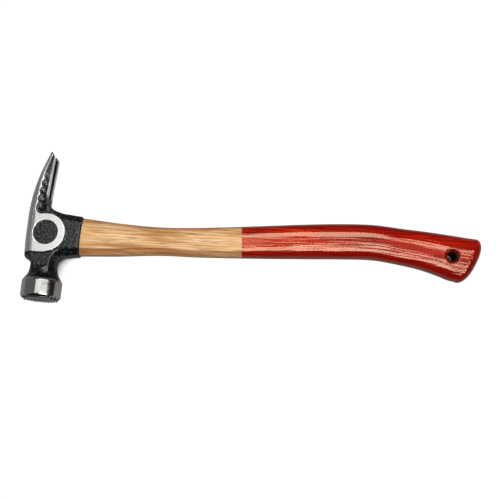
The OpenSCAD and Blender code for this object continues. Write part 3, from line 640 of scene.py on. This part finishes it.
def wood_and_lacquer():
    material, tree, shader, place = finish_material("hickory_and_red_lacquer")

    def along(direction):
        return add(tree, "ShaderNodeVectorMath", {"operation": "DOT_PRODUCT"}, _0=place,
                   _1=direction).outputs["Value"]

    # growth rings cut along the blank: dark porous lines, each fading into the next ring
    sway = noise(tree, place, 22, stretch=LONG)
    ring = math_node(tree, "ADD", times(tree, along(RING_ACROSS), RINGS_PER_METRE),
                     times(tree, sway, RING_SWAY))
    figure = noise(tree, place, 75, stretch=LONG)
    streak = noise(tree, place, 300, detail=5, rough=0.65, stretch=LONGER)
    pores = spread(tree, noise(tree, place, 900, detail=2, rough=0.5, stretch=LONGER), 0.54, 0.66)
    early = times(tree, spread(tree, math_node(tree, "FRACT", ring), 0.0, 0.34, 1.0, 0.0),
                  spread(tree, streak, 0.36, 0.6, 0.15, 1.0))
    grain = math_node(tree, "ADD", times(tree, figure, 0.38), times(tree, streak, 0.62))
    ramp = add(tree, "ShaderNodeValToRGB", Fac=grain)
    stops = ramp.color_ramp.elements
    stops[0].position, stops[0].color = 0.42, WOOD_DARK
    stops[1].position, stops[1].color = 0.58, WOOD_PALE
    stops.new(0.5).color = WOOD_MID
    wood = blend(tree, times(tree, early, 0.9), ramp.outputs[0], RING_BROWN)
    wood = blend(tree, times(tree, pores, 0.55), wood, PORE_BROWN)
    # amber towards the collar, and lighter there as painted light
    wood = blend(tree, spread(tree, along((1, 0, 0)), *LIT_AMBER_END, 0.0, 0.4), wood, COLLAR_AMBER_LIT)
    # brown heartwood low on the side, also painted shade there, with a dark line at its border, and a darker
    # upper edge, which is painted shade
    level = marked(tree, "level")
    stray = math_node(tree, "ADD", level, spread(tree, figure, 0.3, 0.7, -0.08, 0.08))
    lower_heart_and_shade = times(tree, spread(tree, stray, -0.64, -0.72, 0.0, 0.85),
                  spread(tree, level, -0.95, -0.8, 0.6, 1.0))
    heart_and_shade = math_node(tree, "MAXIMUM", lower_heart_and_shade, spread(tree, stray, 0.6, 0.9, 0.0, 0.6))
    wood = blend(tree, heart_and_shade, wood, blend(tree, spread(tree, streak, 0.36, 0.62), HEART_AND_SHADE_DARK, HEART_AND_SHADE_PALE))
    border = times(tree, spread(tree, stray, -0.60, -0.65), spread(tree, stray, -0.74, -0.68, 0.0, 0.75))
    wood = blend(tree, border, wood, BORDER_BROWN)
    # the red coat lets the grain show, and is paler towards the bare wood
    lacquer = blend(tree, spread(tree, along((1, 0, 0)), *RED_PALER), RED_GRIP, RED_FRONT)
    lacquer = blend(tree, spread(tree, grain, 0.42, 0.56), RED_GRAIN, lacquer)
    lacquer = blend(tree, times(tree, early, 0.95), lacquer, RED_RING)
    # it is painted deeper red as painted shade below and along the upper edge, and darker still on the butt's
    # end and in the hang hole
    edge_shade = math_node(tree, "MAXIMUM", spread(tree, level, -0.5, -0.72, 0.0, 0.75),
                    spread(tree, level, 0.6, 0.9, 0.0, 0.6))
    lacquer = blend(tree, edge_shade, lacquer, RED_EDGE_SHADE)
    # the butt's rounded end is painted very dark red, as painted shade
    lacquer = blend(tree, marked(tree, "butt_end"), lacquer, RED_BUTT_SHADE)
    # the hang hole's mouth is painted darker red and its bore black, as painted shade
    hole = marked(tree, "hole")
    lacquer = blend(tree, spread(tree, hole, 0.0, 0.5), lacquer, RED_MOUTH_SHADE)
    lacquer = blend(tree, spread(tree, hole, 0.5, 1.0), lacquer, BORE_SHADE)
    # it starts at a line square to the handle, which leans a little there
    red = spread(tree, along((1, RED_LEAN, 0)), *RED_START)
    rough = mix_value(tree, red, spread(tree, streak, 0.3, 0.7, *SATIN_ROUGH),
                      spread(tree, streak, 0.3, 0.7, *GLOSS_ROUGH))
    rough = math_node(tree, "MAXIMUM", rough, spread(tree, hole, 0.5, 1.0, 0.0, BORE_ROUGH))
    # the satin coat follows the grain, and slow waves in the gloss coat make the lights in it waver
    satin = math_node(tree, "SUBTRACT", times(tree, streak, 0.5), times(tree, pores, 0.25))
    run_of_grip = marked(tree, "flow", "Vector")
    wave = noise(tree, run_of_grip, 240, detail=1, rough=0.5, stretch=(0.055, 1, 1))
    thread = noise(tree, run_of_grip, 540, detail=1, rough=0.5, stretch=(0.035, 1, 1))
    gloss = math_node(tree, "ADD", times(tree, wave, 0.55),
                      times(tree, thread, spread(tree, level, 0.25, -0.25, 0.28, 0.62)))
    relief = mix_value(tree, red, satin, gloss)
    feed(tree, shader, Base_Color=blend(tree, red, wood, lacquer), Roughness=rough,
         Normal=add(tree, "ShaderNodeBump", Strength=0.8, Distance=COAT_RELIEF, Height=relief).outputs[0])
    shader.inputs["IOR"].default_value = COAT_IOR
    shader.inputs["Specular Tint"].default_value = COAT_TINT
    return material


handle.data.materials.append(wood_and_lacquer())
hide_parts("handle")
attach(handle, "root")

# WEDGES
# A wooden wedge splits the tenon along the head, and two steel wedges are driven across it. They end
# flush with the top of the head and are cut and ground off there with the tenon.
RAW_WOOD_DARK, RAW_WOOD_PALE, RAW_WOOD_ROUGH = (0.36, 0.2, 0.085, 1), (0.66, 0.47, 0.26, 1), (0.6, 0.75)
RAW_STEEL_DARK, RAW_STEEL_PALE, RAW_STEEL_ROUGH = (0.24, 0.235, 0.23, 1), (0.5, 0.49, 0.48, 1), (0.55, 0.35)


def wedge_wood():
    material, tree, shader, place = finish_material("raw_wedge_wood")
    streak = noise(tree, place, 300, detail=4, rough=0.6, stretch=(1, 0.15, 1))
    feed(tree, shader, Base_Color=blend(tree, spread(tree, streak, 0.3, 0.7), RAW_WOOD_DARK, RAW_WOOD_PALE),
         Roughness=spread(tree, streak, 0.3, 0.7, *RAW_WOOD_ROUGH),
         Normal=add(tree, "ShaderNodeBump", Strength=0.4, Distance=0.0004, Height=streak).outputs[0])
    return material


def wedge_steel():
    material, tree, shader, place = finish_material("raw_wedge_steel")
    mottle = noise(tree, place, 500, detail=4, rough=0.6)
    feed(tree, shader, Base_Color=blend(tree, spread(tree, mottle, 0.35, 0.7), RAW_STEEL_DARK, RAW_STEEL_PALE),
         Roughness=spread(tree, mottle, 0.3, 0.7, *RAW_STEEL_ROUGH),
         Normal=add(tree, "ShaderNodeBump", Strength=0.3, Distance=0.0003, Height=mottle).outputs[0])
    shader.inputs["Metallic"].default_value = 1.0
    return material


wood_finish, wedge_finish = wedge_wood(), wedge_steel()
for node, finish in (("wood_wedge", wood_finish), ("steel_wedge_face_side", wedge_finish),
                     ("steel_wedge_claw_side", wedge_finish)):
    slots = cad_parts[node].data.materials
    slots.clear()
    slots.append(finish)

# STUDIO
# Pale floor under the hammer, soft boxes overhead in a grey room, and the camera at the photograph's
# angle: above the handle, a little towards the striking face, and turned a little in its own plane.
FLOOR_HALF, PAPER_GREY, WHITE = 6, (0.22, 0.22, 0.22, 1), (1, 1, 1, 1)
SHADOW_REACH, SHADOW_SEEN, SHADOW_MIRRORED = 0.04, (0.265, 0.32), (0.3, 0.95)
FLOOR_GLOW, FLOOR_SEEN, FLOOR_MIRRORED = 1.08, 0.95, 0.17
ROOM_FILL, ROOM_MIRRORED = 0.1, 0.015
BOX_HEIGHT = 1.1
SOFT_BOXES = (  # middle, size and how bright each one looks
    ("far_soft_box", (0.03, 0.515, BOX_HEIGHT), (0.66, 0.31), 7.4),
    ("far_end_soft_box", (0.655, 0.425, BOX_HEIGHT), (0.59, 0.17), 7.4),
    ("middle_soft_box", (0.53, -0.05, BOX_HEIGHT), (1.14, 0.13), 10.5),
    ("near_soft_box", (0.53, -0.46, BOX_HEIGHT), (1.14, 0.32), 9.5),
    ("head_soft_box", (-0.31, 0.18, BOX_HEIGHT), (0.62, 0.26), 2.0),
    ("dim_soft_box", (0.50, 0.18, BOX_HEIGHT), (0.90, 0.26), 0.55))
CAMERA_PITCH, CAMERA_ROLL = math.radians(12.4), math.radians(4.1)
CAMERA_PLACE, CAMERA_LENS, CAMERA_SENSOR = (-0.00424, -0.16643, 0.73612), 54, 36


def pale_floor():
    """White floor that keeps the contact shadow and shows dimly in the metal."""
    mesh = bpy.data.meshes.new("floor")
    corners = [(-FLOOR_HALF, -FLOOR_HALF, 0), (FLOOR_HALF, -FLOOR_HALF, 0), (FLOOR_HALF, FLOOR_HALF, 0),
               (-FLOOR_HALF, FLOOR_HALF, 0)]
    mesh.from_pydata(corners, [], [(0, 1, 2, 3)])
    floor = bpy.data.objects.new("floor", mesh)
    bpy.context.scene.collection.objects.link(floor)
    material = bpy.data.materials.new("pale_floor")
    material.use_nodes = True
    tree = material.node_tree
    tree.nodes.clear()
    paper = add(tree, "ShaderNodeBsdfDiffuse", Color=PAPER_GREY).outputs[0]
    open_sky = add(tree, "ShaderNodeAmbientOcclusion", {"samples": 16}, Distance=SHADOW_REACH).outputs["AO"]
    ray = tree.nodes.new("ShaderNodeLightPath").outputs
    mirrored = math_node(tree, "MAXIMUM", ray["Is Glossy Ray"], ray["Is Transmission Ray"])
    glow = mix_value(tree, ray["Is Camera Ray"], spread(tree, open_sky, *SHADOW_MIRRORED),
                     spread(tree, open_sky, *SHADOW_SEEN, 0.0, FLOOR_GLOW))
    white = add(tree, "ShaderNodeEmission", Color=WHITE, Strength=glow).outputs[0]
    seen = math_node(tree, "ADD", times(tree, ray["Is Camera Ray"], FLOOR_SEEN),
                     times(tree, mirrored, FLOOR_MIRRORED))
    mixed = add(tree, "ShaderNodeMixShader", _0=seen, _1=paper, _2=white).outputs[0]
    add(tree, "ShaderNodeOutputMaterial", Surface=mixed)
    mesh.materials.append(material)


def soft_box(name, center, size, radiance, turn=(0, 0, 0)):
    """Panel that faces down before its turn, given by its size and by how bright it looks."""
    lamp = bpy.data.lights.new(name, "AREA")
    lamp.shape, lamp.size, lamp.size_y = "RECTANGLE", size[0], size[1]
    lamp.energy = radiance * math.pi * size[0] * size[1]
    box = bpy.data.objects.new(name, lamp)
    bpy.context.scene.collection.objects.link(box)
    box.location, box.rotation_euler = center, turn


def studio_room():
    """Room that is white to look at, dim in the metal, and fills the shaded sides a little."""
    world = bpy.data.worlds.new("studio")
    bpy.context.scene.world = world
    world.use_nodes = True
    tree = world.node_tree
    ray = tree.nodes.new("ShaderNodeLightPath").outputs
    mirrored = math_node(tree, "MAXIMUM", ray["Is Glossy Ray"], ray["Is Transmission Ray"])
    level = mix_value(tree, mirrored, ROOM_FILL, ROOM_MIRRORED)
    back = tree.nodes["Background"]
    back.inputs["Color"].default_value = WHITE
    tree.links.new(math_node(tree, "MAXIMUM", level, ray["Is Camera Ray"]), back.inputs["Strength"])


def studio_camera():
    across, up = Vector((1, 0, 0)), Vector((0, math.cos(CAMERA_PITCH), math.sin(CAMERA_PITCH)))
    right = math.cos(CAMERA_ROLL) * across + math.sin(CAMERA_ROLL) * up
    above = -math.sin(CAMERA_ROLL) * across + math.cos(CAMERA_ROLL) * up
    lens = bpy.data.cameras.new("camera")
    lens.lens, lens.sensor_width, lens.clip_start = CAMERA_LENS, CAMERA_SENSOR, 0.01
    camera = bpy.data.objects.new("camera", lens)
    bpy.context.scene.collection.objects.link(camera)
    turn = Matrix((right, above, right.cross(above))).transposed().to_4x4()
    camera.matrix_world = Matrix.Translation(CAMERA_PLACE) @ turn
    bpy.context.scene.camera = camera


pale_floor()
for name, center, size, radiance in SOFT_BOXES:
    soft_box(name, center, size, radiance)
soft_box("left_card", (-0.75, 0.1, 0.52), (1.0, 1.4), 0.165, (0, -math.pi / 2, 0))
studio_room()
studio_camera()
bpy.context.scene.view_settings.view_transform = "Standard"
